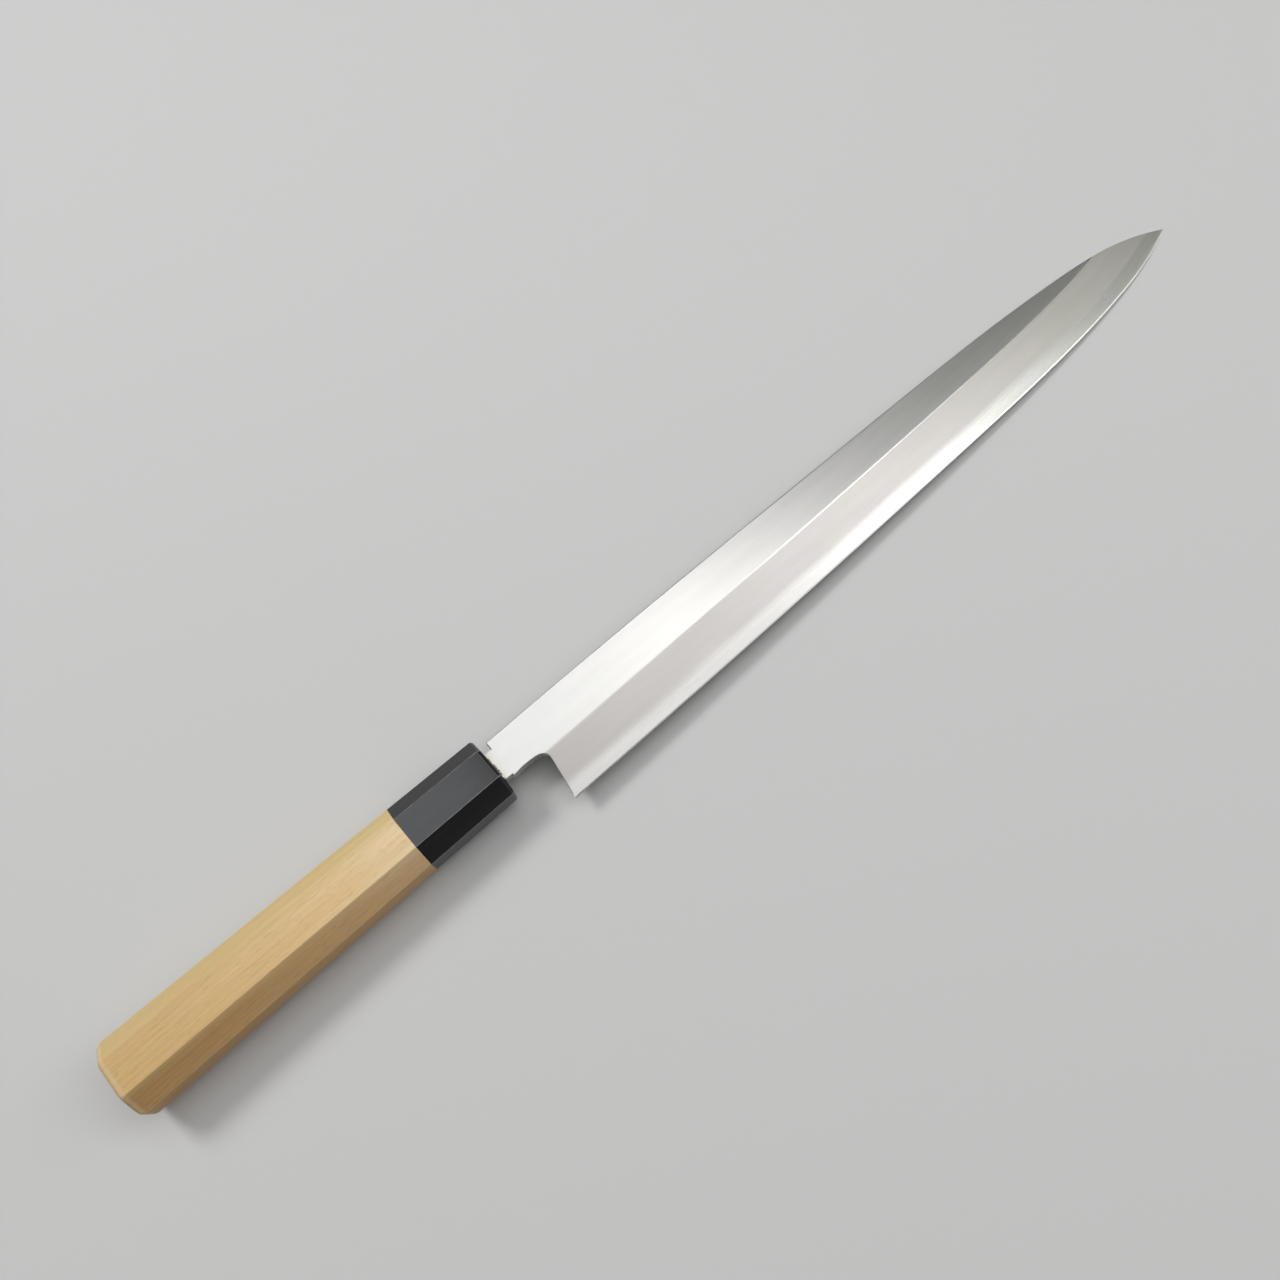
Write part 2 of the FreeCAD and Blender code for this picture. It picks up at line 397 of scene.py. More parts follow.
        rough = mat.blend(in_iron, self.steel_roughness, self.iron_roughness)
        rough = mat.blend(in_flat, rough, self.flat_roughness)
        rough = mat.blend(on_line, rough, self.line_roughness)
        rough = mat.blend(behind, rough, self.back_roughness)
        rough = mat.plus(rough, mat.span(streak, *self.streak_roughening, soft=False))
        rough = mat.plus(rough, mat.times(stain, self.neck_roughening))
        rough = mat.plus(rough, mat.times(scale, self.scale_roughening))
        drawn = mat.times(streak, mat.times(in_iron, self.iron_scratch))
        height = mat.blend(in_flat, drawn, satin)
        mat.set(Base_Color=colour, Roughness=rough, Normal=mat.bump(height, self.scratch_depth), Metallic=1.0)
        return mat.material


@dataclass(frozen=True)
class HornFinish:
    """Polished black horn with faint streaks, grey along its ridges: scuffing there, and a painted highlight.
    """

    name: str = "black_horn"
    colour: tuple = (0.004, 0.004, 0.0045)
    streak: Pattern = Pattern((18.0, 260.0, 260.0), 5.0, 0.6)
    streak_span: tuple = (0.52, 0.78)
    streak_colour: tuple = (0.016, 0.013, 0.011)
    scuff: Pattern = Pattern((220.0, 900.0, 900.0), 4.0, 0.6)
    scuff_span: tuple = (0.35, 0.65, 0.6, 1.0)
    # Grey along the ridges: scuffing, and a painted highlight.
    worn_highlight_colour: tuple = (0.42, 0.42, 0.43)
    worn_highlight_share: float = 0.7
    worn_roughening: float = 0.2
    polish: Pattern = Pattern((60.0, 900.0, 900.0), 3.0)
    polish_span: tuple = (0.3, 0.7, 0.09, 0.15)
    swell: Pattern = Pattern((140.0, 420.0, 420.0))
    swell_depth: float = 0.000006
    refraction: float = 1.5

    def material(self) -> bpy.types.Material:
        """Build the material.

        Returns:
            The finished material.
        """
        mat = Recipe(self.name)
        streak = mat.span(mat.speckle(self.streak), *self.streak_span)
        # Grey along the ridges: scuffing, and a painted highlight.
        ridge = mat.parts(mat.attribute("wear_and_highlight"))[0]
        worn_and_highlight = mat.times(ridge, mat.span(mat.speckle(self.scuff), *self.scuff_span))
        colour = mat.mix(streak, self.colour, self.streak_colour)
        colour = mat.mix(mat.times(worn_and_highlight, self.worn_highlight_share), colour, self.worn_highlight_colour)
        rough = mat.span(mat.speckle(self.polish), *self.polish_span, soft=False)
        rough = mat.plus(rough, mat.times(worn_and_highlight, self.worn_roughening))
        normal = mat.bump(mat.speckle(self.swell), self.swell_depth)
        mat.set(Base_Color=colour, Roughness=rough, Normal=normal, IOR=self.refraction)
        return mat.material


@dataclass(frozen=True)
class WoodFinish:
    """Bare, fine-sanded magnolia with straight lengthwise grain.

    Places are metres, along the handle or, for the sapwood and the painted shade on the edge side, towards
    the spine.
    """

    name: str = "bare_magnolia"
    pale: tuple = (0.722, 0.525, 0.272)
    tan: tuple = (0.672, 0.460, 0.219)
    green: tuple = (0.668, 0.505, 0.221)
    sap: tuple = (0.570, 0.428, 0.185)
    line: tuple = (0.40, 0.255, 0.105)
    # Paler along the ridges and the butt's rim: rubbing, and a painted highlight.
    rubbed_highlight: tuple = (0.76, 0.62, 0.40)
    # Paler and bluer from the butt to the collar, and more so next to the collar: painted sheen.
    butt_tone: tuple = (0.93, 0.90, 0.84)
    sheen_tone: tuple = (1.06, 1.08, 1.16)
    sheen_from: tuple = (-0.225, -0.115)
    joint_sheen_tone: tuple = (1.01, 1.06, 1.16)
    joint_sheen_from: tuple = (-0.145, -0.118)
    # Darker and browner on the edge side: painted shade.
    shaded_side_tone: tuple = (0.82, 0.71, 0.61)
    shaded_side_from: tuple = (-0.0035, 0.0005)
    sap_from: tuple = (0.009, 0.014)
    sap_span: tuple = (0.3, 0.6, 0.45, 0.9)
    pitch: float = 0.02566
    bands: Pattern = Pattern((4.0, 110.0, 110.0))
    band_span: tuple = (0.35, 0.65)
    rings: Pattern = Pattern((3.0, 420.0, 420.0), 3.0, 0.6, (0.0, 3.1, 1.7))
    ring_span: tuple = (0.5, 0.72, 0.0, 0.6)
    grain: Pattern = Pattern((7.0, 950.0, 950.0), 2.0, 0.6, (2.0, 0.4, 5.3))
    grain_span: tuple = (0.5, 0.72, 0.0, 0.17)
    fibre: Pattern = Pattern((45.0, 2300.0, 2300.0), 3.0, 0.6)
    fibre_span: tuple = (0.46, 0.8, 0.0, 0.25)
    fibre_roughness: tuple = (0.25, 0.75, 0.46, 0.62)
    pores: Pattern = Pattern((260.0, 2000.0, 2000.0))
    pore_span: tuple = (0.54, 0.74, 0.0, 0.32)
    pore_dip: tuple = (0.62, 0.76)
    heart: tuple = (0.0, -0.085, -0.035)
    year_width: float = 0.0017
    year_wobble: Pattern = Pattern((5.0, 70.0, 70.0), shift=(0.7, 0.0, 0.2))
    year_wander: float = 0.0024
    year_span: tuple = (-0.2, 1.0)
    year_from: tuple = (-0.225, -0.135)
    year_depth: tuple = (0.12, 0.05)
    worn_highlight_span: tuple = (0.2, 0.6, 0.9, 0.5)
    bump_depth: float = 0.00003
    bump_strength: float = 0.6
    refraction: float = 1.45

    def years(self, mat: Recipe, turn: tuple, along: Socket) -> Socket:
        """The growth rings round the heart of the tree.

        Args:
            mat: The material.
            turn: Rotation of the handle's coordinates.
            along: Place along the handle.

        Returns:
            How dark they are.
        """
        outward = mat.place(turn, (0.0, 1.0, 1.0), tuple(-c for c in self.heart))
        wander = mat.times(mat.speckle(self.year_wobble, turn), self.year_wander)
        radius = mat.plus(mat.length(outward), wander)
        year = mat.math("SINE", mat.times(radius, math.tau / self.year_width))
        depth = mat.span(along, *self.year_from, *self.year_depth)
        return mat.times(mat.span(year, *self.year_span), depth)

    def material(self) -> bpy.types.Material:
        """Build the material.

        Returns:
            The finished material.
        """
        mat = Recipe(self.name)
        turn = (0.0, -self.pitch, 0.0)
        rings = mat.speckle(self.rings, turn)
        grain = mat.speckle(self.grain, turn)
        fibre = mat.speckle(self.fibre, turn)
        pores = mat.speckle(self.pores, turn)
        along = mat.parts(mat.place(turn))[0]
        side = mat.parts(mat.place())[1]

        colour = mat.mix(mat.span(mat.speckle(self.bands, turn), *self.band_span), self.tan, self.pale)
        colour = mat.mix(mat.span(rings, *self.ring_span), colour, self.green)
        for lines, span in ((grain, self.grain_span), (fibre, self.fibre_span), (pores, self.pore_span)):
            colour = mat.mix(mat.span(lines, *span), colour, self.line)
        colour = mat.mix(self.years(mat, turn, along), colour, self.line)
        # Painted sheen: paler and bluer from the butt to the collar.
        tone = mat.mix(mat.span(along, *self.sheen_from), self.butt_tone, self.sheen_tone)
        colour = mat.tint(colour, tone)
        # More painted sheen next to the collar.
        colour = mat.mix(mat.span(along, *self.joint_sheen_from), colour, mat.tint(colour, self.joint_sheen_tone))
        sappy = mat.times(mat.span(side, *self.sap_from), mat.span(rings, *self.sap_span))
        colour = mat.mix(sappy, colour, self.sap)
        # Painted shade: darker and browner on the edge side.
        shaded_side = mat.span(side, *self.shaded_side_from, 1.0, 0.0)
        colour = mat.mix(shaded_side, colour, mat.tint(colour, self.shaded_side_tone))
        # Paler along the ridges and the butt's rim: rubbing, and a painted highlight.
        worn_and_highlight = mat.times(mat.parts(mat.attribute("wear_and_highlight"))[0], mat.span(fibre, *self.worn_highlight_span))
        colour = mat.mix(worn_and_highlight, colour, self.rubbed_highlight)

        rough = mat.span(fibre, *self.fibre_roughness, soft=False)
        height = mat.math("SUBTRACT", fibre, mat.span(pores, *self.pore_dip))
        normal = mat.bump(height, self.bump_depth, self.bump_strength)
        mat.set(Base_Color=colour, Roughness=rough, Normal=normal, IOR=self.refraction)
        return mat.material


@dataclass(frozen=True)
class ResinFinish:
    """Burnt, speckled resin that beds the tang."""

    name: str = "burnt_resin"
    dark: tuple = (0.045, 0.032, 0.024)
    fleck: tuple = (0.30, 0.27, 0.22)
    grit: Pattern = Pattern((1800.0, 1800.0, 1800.0), 4.0, 0.7)
    fleck_span: tuple = (0.52, 0.68)
    roughness: tuple = (0.3, 0.7, 0.5, 0.75)
    bump_depth: float = 0.00012
    refraction: float = 1.5

    def material(self) -> bpy.types.Material:
        """Build the material.

        Returns:
            The finished material.
        """
        mat = Recipe(self.name)
        grit = mat.speckle(self.grit)
        colour = mat.mix(mat.span(grit, *self.fleck_span), self.dark, self.fleck)
        rough = mat.span(grit, *self.roughness, soft=False)
        normal = mat.bump(grit, self.bump_depth)
        mat.set(Base_Color=colour, Roughness=rough, Normal=normal, IOR=self.refraction)
        return mat.material


@dataclass(frozen=True)
class FloorFinish:
    """Plain pale floor that stays pale out to the horizon."""

    name: str = "pale_floor"
    colour: tuple = (0.57, 0.57, 0.565, 1.0)
    roughness: float = 0.85
    centre: tuple = (0.15, 0.30, 0.0)
    far: tuple = (0.25, 2.2)
    far_glow: float = 0.48
    glow_colour: tuple = (1.0, 1.0, 0.99, 1.0)

    def material(self) -> bpy.types.Material:
        """Build the material.

        Returns:
            The finished material.
        """
        mat = Recipe(self.name)
        away = mat.length(mat.place(shift=tuple(-c for c in self.centre)))
        glow = mat.times(mat.span(away, *self.far, 0.0, self.far_glow), mat.seen())
        mat.set(Base_Color=self.colour, Roughness=self.roughness, Emission_Color=self.glow_colour,
                Emission_Strength=glow)
        return mat.material


# Shaping helpers


def between(start: float, end: float, share: float) -> float:
    """The value a share of the way from start to end."""
    return start + (end - start) * share


def ease(value: float, low: float, high: float) -> float:
    """A smooth step from 0 at low to 1 at high."""
    share = min(max((value - low) / (high - low), 0.0), 1.0)
    return share * share * (3.0 - 2.0 * share)


class Bend:
    """A smooth height along the blade, through given points."""

    def __init__(self, points: list) -> None:
        """Fit the slopes so that the curve bends evenly at every point.

        Args:
            points: Pairs of place and height, in order.
        """
        self.x = np.array([p[0] for p in points], float)
        self.y = np.array([p[1] for p in points], float)
        step = np.diff(self.x)
        rise = np.diff(self.y) / step
        count = len(points)
        table = np.eye(count)
        known = np.zeros(count)
        known[0] = rise[0] + (rise[0] - rise[1]) * step[0] / (step[0] + step[1])
        known[-1] = rise[-1] + (rise[-1] - rise[-2]) * step[-1] / (step[-1] + step[-2])
        for i in range(1, count - 1):
            table[i, i - 1:i + 2] = step[i], 2 * (step[i - 1] + step[i]), step[i - 1]
            known[i] = 3 * (step[i] * rise[i - 1] + step[i - 1] * rise[i])
        self.slopes = np.linalg.solve(table, known)
        self.step = step

    def piece(self, x: float) -> tuple:
        """Which stretch a place is on, and its share along it."""
        i = int(min(max(np.searchsorted(self.x, x) - 1, 0), len(self.step) - 1))
        return i, (x - self.x[i]) / self.step[i]

    def at(self, x: float) -> float:
        """The height at a place.

        Args:
            x: The place.

        Returns:
            The height.
        """
        i, t = self.piece(x)
        step = self.step[i]
        near = (2 * t ** 3 - 3 * t ** 2 + 1) * self.y[i] + (t ** 3 - 2 * t ** 2 + t) * step * self.slopes[i]
        far = (3 * t ** 2 - 2 * t ** 3) * self.y[i + 1] + (t ** 3 - t ** 2) * step * self.slopes[i + 1]
        return float(near + far)

    def slope(self, x: float) -> float:
        """The slope at a place.

        Args:
            x: The place.

        Returns:
            The slope.
        """
        i, t = self.piece(x)
        chord = (self.y[i + 1] - self.y[i]) / self.step[i]
        return float(6 * (t - t * t) * chord + (3 * t * t - 4 * t + 1) * self.slopes[i]
                     + (3 * t * t - 2 * t) * self.slopes[i + 1])


@dataclass(frozen=True)
class Lay:
    """How the knife, drawn straight in millimetres, lies on the table in metres."""

    pitch_deg: float = 1.470292411
    shift_mm: tuple = (-82.546543, 5.471892, 9.972576)

    def matrix(self) -> Matrix:
        """Turn, move and scale in one."""
        turn = Matrix.Rotation(math.radians(self.pitch_deg), 4, "Y")
        return Matrix.Scale(MM, 4) @ Matrix.Translation(self.shift_mm) @ turn


def everything(bm: Mesh) -> list:
    """All the points, edges and faces of a mesh."""
    return [*bm.verts, *bm.edges, *bm.faces]


def cut(bm: Mesh, geom: list, place: Vector, way: Vector, **clear: bool) -> None:
    """Cut through some of a mesh with a plane, and clear one side if asked."""
    bmesh.ops.bisect_plane(bm, geom=geom, dist=CUT_SLACK, plane_co=place, plane_no=way, **clear)


def cap(bm: Mesh, edges: list, way: Vector) -> None:
    """Close a hole with a flat face."""
    bmesh.ops.triangle_fill(bm, use_beauty=True, use_dissolve=False, edges=edges, normal=way)


def clean(bm: Mesh, same_point: float, least_edge: float) -> None:
    """Merge points that coincide, and take out edges and faces without size."""
    bmesh.ops.remove_doubles(bm, verts=bm.verts, dist=same_point)
    bmesh.ops.dissolve_degenerate(bm, edges=bm.edges, dist=least_edge)


def mark_sharp(bm: Mesh) -> None:
    """Shade smooth, with every edge that turns a lot kept sharp.

    Args:
        bm: The mesh.
    """
    limit = math.radians(SHARP_TURN)
    for face in bm.faces:
        face.smooth = True
    for edge in bm.edges:
        if len(edge.link_faces) != 2 or edge.calc_face_angle() > limit:
            edge.smooth = False


def publish(bm: Mesh, name: str, lay: Lay, material: bpy.types.Material, slot: str, *nodes: str) -> None:
    """Make a piece out of a finished bmesh and put it on the table.

    Args:
        bm: The mesh, drawn in millimetres. It is freed.
        name: The piece's name.
        lay: How it lies.
        material: Its finish.
        slot: Not used.
        nodes: The CAD nodes that it stands for.
    """
    mark_sharp(bm)
    bmesh.ops.transform(bm, matrix=lay.matrix(), verts=bm.verts)
    mesh = bpy.data.meshes.new(name)
    bm.to_mesh(mesh)
    bm.free()
    mesh.materials.append(material)
    piece = bpy.data.objects.new(name, mesh)
    bpy.context.scene.collection.objects.link(piece)
    normals = piece.modifiers.new("even_normals", "WEIGHTED_NORMAL")
    normals.keep_sharp = True
    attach(piece, BODY)
    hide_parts(*nodes)
    LOG.info("%s: %d faces, stands for %s", name, len(mesh.polygons), ", ".join(nodes))


# Blade


@dataclass
class Blade:
    """The laminated blade with its tang, in millimetres and, for turns, degrees.

    Rows run from the edge to the spine and columns from the shoulders to the tip.
    """

    shoulder_x: float = 3.1
    heel_x: float = 13.4
    tip_x: float = 310.4
    spine_height: float = 8.3
    heel_depth: float = 24.0
    tip_depth: float = 6.2
    neck_depth: float = 6.1
    heel_rake: float = 2.9
    choil_radius: float = 3.0
    spine_bend_shares: tuple = ((0.25, -0.032), (0.48, 0.0), (0.64, 0.035), (0.74, 0.086), (0.836, 0.203),
                                (0.92, 0.415), (0.966, 0.675))
    edge_bend_shares: tuple = ((0.22, 0.05), (0.43, 0.125), (0.63, 0.225), (0.78, 0.34), (0.88, 0.51),
                               (0.945, 0.71))
    thickness: float = 4.0
    tip_thickness: float = 1.45
    bevel_width: float = 17.0
    land_width: float = 0.45
    land_height: float = 0.16
    steel_band: float = 5.0
    steel_start: float = 9.9
    hollow_radius: float = 200.0
    hollow_lead: float = 0.8
    hollow_full: float = 5.0
    hollow_tip: tuple = (26.0, 9.0)
    spine_rim: float = 3.6
    edge_rim: float = 1.6
    tang_length: float = 104.0
    tang_top: float = 5.4
    tang_bottom: float = 5.3
    tang_end: tuple = (2.6, -2.2, 2.4)
    neck_bow: float = 0.38
    bow_lead: float = 0.3
    bow_full: float = 7.4
    bow_fall: tuple = (9.0, 14.6)
    heel_softness: float = 0.85
    ridge_softness: float = 0.34
    softness_reach: float = 90.0
    lean_reach: float = 32.0
    easing: float = 0.22
    easing_turn: float = 40.0
    easing_steps: int = 3
    easing_least_shares: tuple = (1.3, 3.0)
    easing_heel: float = 6.0
    halvings: int = 40
    columns: int = 130
    column_crowding: float = 1.3
    tip_gap: float = 0.02
    heel_columns: tuple = (0.0, 0.5, 1.1, 1.9, 2.9)
    neck_columns: tuple = (3.6, 4.2, 4.8, 5.4, 6.0, 6.8, 7.6, 8.4, 9.2, 10.2, 11.0, 11.8, 12.4, 12.9, 13.3,
                           13.7, 14.1, 14.4, 14.7)
    land_row: float = 0.1
    band_row: float = 3.2
    bevel_rows: tuple = (7.0, 9.5, 12.0, 14.2, 15.2)
    ridge_row_shares: tuple = (-1.25, -1.0, -0.75, -0.5, -0.25, 0.0, 0.25, 0.5, 0.75, 1.0)
    flat_row_shares: tuple = (0.06, 0.3, 0.55, 0.8, 1.0)
    spine_row_share: float = 0.14
    neck_rows: tuple = (0.0, 0.2, 0.4, 0.6, 0.8, 1.2, 3.2, 6.0, 8.6)
    neck_spine_row: float = 0.5
    tang_rows: tuple = (4, 10)
    ridge_row: int = 16
    most_ridge_share: float = 0.96
    most_soft_share: float = 0.3
    most_rim_share: float = 0.4
    whole_clean: tuple = (SAME_POINT, 0.0002)
    layer_clean: tuple = (0.001, 0.0005)
    step_slack: float = 0.001
    finish: BladeFinish = field(default_factory=BladeFinish)

    def __post_init__(self) -> None:
        """Draw the outline."""
        self.back = -self.thickness / 2
        shares = ((0.0, 0.0), *self.spine_bend_shares, (1.0, 1.0))
        self.spine = Bend([(between(self.shoulder_x, self.tip_x, a),
                            between(self.spine_height, -self.tip_depth, d)) for a, d in shares])
        shares = ((0.0, 0.0), *self.edge_bend_shares, (1.0, 1.0))
        self.edge = Bend([(between(self.heel_x, self.tip_x, a),
                           between(-self.heel_depth, -self.tip_depth, d)) for a, d in shares])
        self.corner = self.choil_corner()

    def flat(self, x: float) -> float:
        """Thickness of the front flat at a place."""
        share = (x - self.shoulder_x) / (self.tip_x - self.shoulder_x)
        return between(self.thickness, self.tip_thickness, share)

    def ruling(self, foot: float) -> tuple:
        """The line square to the edge at a place.

        Args:
            foot: Place along the edge.

        Returns:
            Its foot, its direction and its length to the spine.
        """
        start = Vector((foot, self.edge.at(foot)))
        slope = self.edge.slope(foot)
        inward = Vector((-slope, 1.0)).normalized()
        low = 0.0
        high = 2.0 * self.heel_depth
        for _ in range(self.halvings):
            middle = (low + high) / 2
            point = start + inward * middle
            if point.y < self.spine.at(point.x):
                low = middle
            else:
                high = middle
        return start, inward, low

    def choil_corner(self) -> dict:
        """The hollow corner between neck and heel.

        Returns:
            Its sharp corner, the direction down the heel, the arc's centre and the arc's end on the heel.
        """
        tip = Vector((self.heel_x + self.heel_rake, -self.neck_depth))
        heel = Vector((self.heel_x, -self.heel_depth))
        down = (heel - tip).normalized()
        half = math.acos(-down.x) / 2
        reach = self.choil_radius / math.tan(half)
        centre = Vector((tip.x - reach, tip.y - self.choil_radius))
        return {"tip": tip, "down": down, "centre": centre, "heel_end": tip + down * reach}

    def rear_x(self, y: float) -> float:
        """Where the heel's rear outline is.

        Args:
            y: The height.

        Returns:
            The place along the blade.
        """
        corner = self.corner
        if y <= corner["heel_end"].y:
            return corner["tip"].x + corner["down"].x * (y - corner["tip"].y) / corner["down"].y
        rise = min(y - corner["centre"].y, self.choil_radius)
        return corner["centre"].x + math.sqrt(max(self.choil_radius ** 2 - rise ** 2, 0.0))

    def front(self, x: float, across: float, ridge_x: float, softness: float) -> float:
        """Height of the front over the back.

        Args:
            x: Place along the blade.
            across: Distance from the edge.
            ridge_x: Place of the ridge on the same ruling.
            softness: Half the width of the ridge's rounding.

        Returns:
            The height.
        """
        if across < self.land_width:
            return self.land_height * across / self.land_width
        flat = self.flat(x)
        slope = (self.flat(ridge_x) - self.land_height) / (self.bevel_width - self.land_width)
        bevel = self.land_height + slope * (across - self.land_width)
        give = slope * softness
        above = min(max(give - (bevel - flat), 0.0), 2.0 * give)
        rounded = flat - above * above / (4.0 * give)
        return bevel if bevel < flat - give else rounded

    def hollow(self, x: float, y: float) -> float:
        """Depth of the hollow back.

        Args:
            x: Place along the blade.
            y: Its height.

        Returns:
            The depth, which is 0 outside the hollow.
        """
        low = self.edge.at(max(x, self.heel_x)) + self.edge_rim
        high = self.spine.at(x) - self.spine_rim
        half = (high - low) / 2
        if half <= 0.0 or not low < y < high:
            return 0.0
        full, end = (self.tip_x - gap for gap in self.hollow_tip)
        fade = ease(x, self.steel_start + self.hollow_lead, self.heel_x + self.hollow_full)
        fade *= ease(-x, -end, -full)
        depth = (2 * half) ** 2 / (8 * self.hollow_radius)
        return fade * depth * (1.0 - ((y - low - half) / half) ** 2)

    def rows(self, width: float, softness: float) -> list:
        """Distances from the edge at which a column has its points.

        Args:
            width: Edge to spine on this column.
            softness: Half the width of the ridge's rounding.

        Returns:
            The distances from edge to spine.
        """
        ridge = min(self.bevel_width, self.most_ridge_share * width)
        flat = width - ridge
        soft = min(softness, self.most_soft_share * flat)
        scale = ridge / self.bevel_width
        low = [0.0, self.land_width, self.land_width + self.land_row, self.edge_rim, self.band_row,
               self.steel_band, *self.bevel_rows]
        found = [d * scale for d in low]
        found += [ridge + soft * s for s in self.ridge_row_shares]
        top = min(self.spine_rim, self.most_rim_share * flat)
        start = found[-1]
        end = width - top
        found += [between(start, end, s) for s in self.flat_row_shares]
        tang = top * (self.spine_height - self.tang_top) / self.spine_rim
        return found + [width - tang, width - top * self.spine_row_share, width]

    def blade_column(self, foot: float) -> list:
        """Points on the ruling from a place on the edge.

        Args:
            foot: The place.

        Returns:
            For each row, the point's x, y and front height, and its places along and across the blade.
        """
        start, inward, width = self.ruling(min(foot, self.tip_x - self.tip_gap))
        if foot >= self.tip_x:
            width = 0.0
            start = Vector((self.tip_x, -self.tip_depth))
        share = ease(foot, self.heel_x, self.heel_x + self.softness_reach)
        soft = between(self.heel_softness, self.ridge_softness, share)
        lean = 1.0 - ease(foot, self.heel_x, self.heel_x + self.lean_reach)
        ridge_x = start.x + inward.x * self.bevel_width
        column = []
        for across in self.rows(width, soft):
            point = start + inward * across
            held = min(across, self.bevel_width)
            level = self.edge.at(self.heel_x) + held
            point.x += lean * (self.rear_x(level) - self.heel_x - inward.x * held)
            column.append((point.x, point.y, self.front(point.x, across, ridge_x, soft), foot, across))
        return column

    def neck_column(self, x: float, corner: list) -> list:
        """Points across the neck, which start at the ridge's row.

        Args:
            x: Place along the neck's underside.
            corner: The first column of the blade.

        Returns:
            For each row, nothing below the ridge, and above it what a blade's column has.
        """
        base = corner[self.ridge_row]
        share = ease(x, self.shoulder_x, base[0])
        reach = (x - self.shoulder_x) / (base[0] - self.shoulder_x)
        foot_y = -self.neck_depth
        centre = self.corner["centre"]
        if x > centre.x:
            foot_y = centre.y + math.sqrt(self.choil_radius ** 2 - (x - centre.x) ** 2)
        low, high = self.bow_fall
        bow = self.neck_bow * ease(x, self.shoulder_x + self.bow_lead, self.bow_full)
        foot_y += bow * ease(-x, -high, -low)
        top_y = self.spine.at(between(self.shoulder_x, corner[-1][0], reach))
        shoulder = [-self.neck_depth + d for d in self.neck_rows]
        shoulder += [self.spine_height - self.spine_rim, self.tang_top]
        shoulder += [self.spine_height - self.neck_spine_row, self.spine_height]
        column = [None] * self.ridge_row
        for at_shoulder, here in zip(shoulder, corner[self.ridge_row:]):
            fixed = (at_shoulder + self.neck_depth) / (self.spine_height + self.neck_depth)
            turned = (here[1] - base[1]) / (corner[-1][1] - base[1])
            place = between(self.shoulder_x, here[0], reach)
            y = between(foot_y, top_y, between(fixed, turned, share))
            across = y + self.heel_depth
            column.append((place, y, self.front(place, across, place, self.heel_softness), place, across))
        return column

    def grid(self) -> list:
        """Every point on the plan.

        Returns:
            The columns, from the shoulders to the tip.
        """
        feet = [self.heel_x + d for d in self.heel_columns]
        shares = 1.0 - (1.0 - np.linspace(0.0, 1.0, self.columns)[1:]) ** self.column_crowding
        feet += list(feet[-1] + (self.tip_x - feet[-1]) * shares)
        columns = [self.blade_column(foot) for foot in feet]
        neck = [self.neck_column(x, columns[0]) for x in (self.shoulder_x, *self.neck_columns)]
        return neck + columns

    def body(self) -> Mesh:
        """The whole blade before the lamination is parted, with its tang.

        Returns:
            A closed mesh in millimetres.
        """
        columns = self.grid()
        bm = bmesh.new()
        column_of = bm.verts.layers.int.new("column")
        row_of = bm.verts.layers.int.new("row")
        side_of = bm.verts.layers.int.new("front")
        grind = bm.verts.layers.float_vector.new("grind")
        across_steps = len(columns[-1]) - 1
        along_steps = len(columns) - 1
        bmesh.ops.create_grid(bm, x_segments=along_steps, y_segments=across_steps, size=1.0)
        spare = []
        for vert in bm.verts:
            column = round((vert.co.x + 1.0) / 2.0 * along_steps)
            row = round((vert.co.y + 1.0) / 2.0 * across_steps)
            vert[column_of] = column
            vert[row_of] = row
            vert[side_of] = 1
            place = columns[column][row]
            if place is None:
                spare.append(vert)
                continue
            x, y, height, along, across = place
            vert.co = (x, y, self.back + height)
            vert[grind] = (along * MM, across * MM, 0.0)
        bmesh.ops.delete(bm, geom=spare, context="VERTS")
        made = bmesh.ops.extrude_face_region(bm, geom=list(bm.faces), use_keep_orig=True)["geom"]
        for vert in made:
            if isinstance(vert, bmesh.types.BMVert):
                vert[side_of] = 0
                vert[grind] = (*vert[grind][:2], 1.0)
                vert.co.z = self.back + self.hollow(vert.co.x, vert.co.y)
        clean(bm, *self.whole_clean)
        bmesh.ops.recalc_face_normals(bm, faces=bm.faces)

        low, high = (self.ridge_row + row for row in self.tang_rows)
        root = [f for f in bm.faces if all(v[column_of] == 0 and low <= v[row_of] <= high for v in f.verts)]
        self.draw_tang(bm, root)
        self.soften(bm, side_of)
        return bm

    def draw_tang(self, bm: Mesh, root: list) -> None:
        """Draw the tang out of the shoulders.

        Args:
            bm: The blade.
            root: The faces that it grows from.
        """
        made = bmesh.ops.extrude_face_region(bm, geom=root)["geom"]
        bmesh.ops.delete(bm, geom=[f for f in root if f.is_valid], context="FACES_ONLY")
        top, bottom, deep = self.tang_end
        for vert in made:
            if isinstance(vert, bmesh.types.BMVert):
                share = (vert.co.y + self.tang_bottom) / (self.tang_top + self.tang_bottom)
                vert.co = (-self.tang_length, between(bottom, top, share), vert.co.z * deep / self.thickness)
        bmesh.ops.recalc_face_normals(bm, faces=bm.faces)

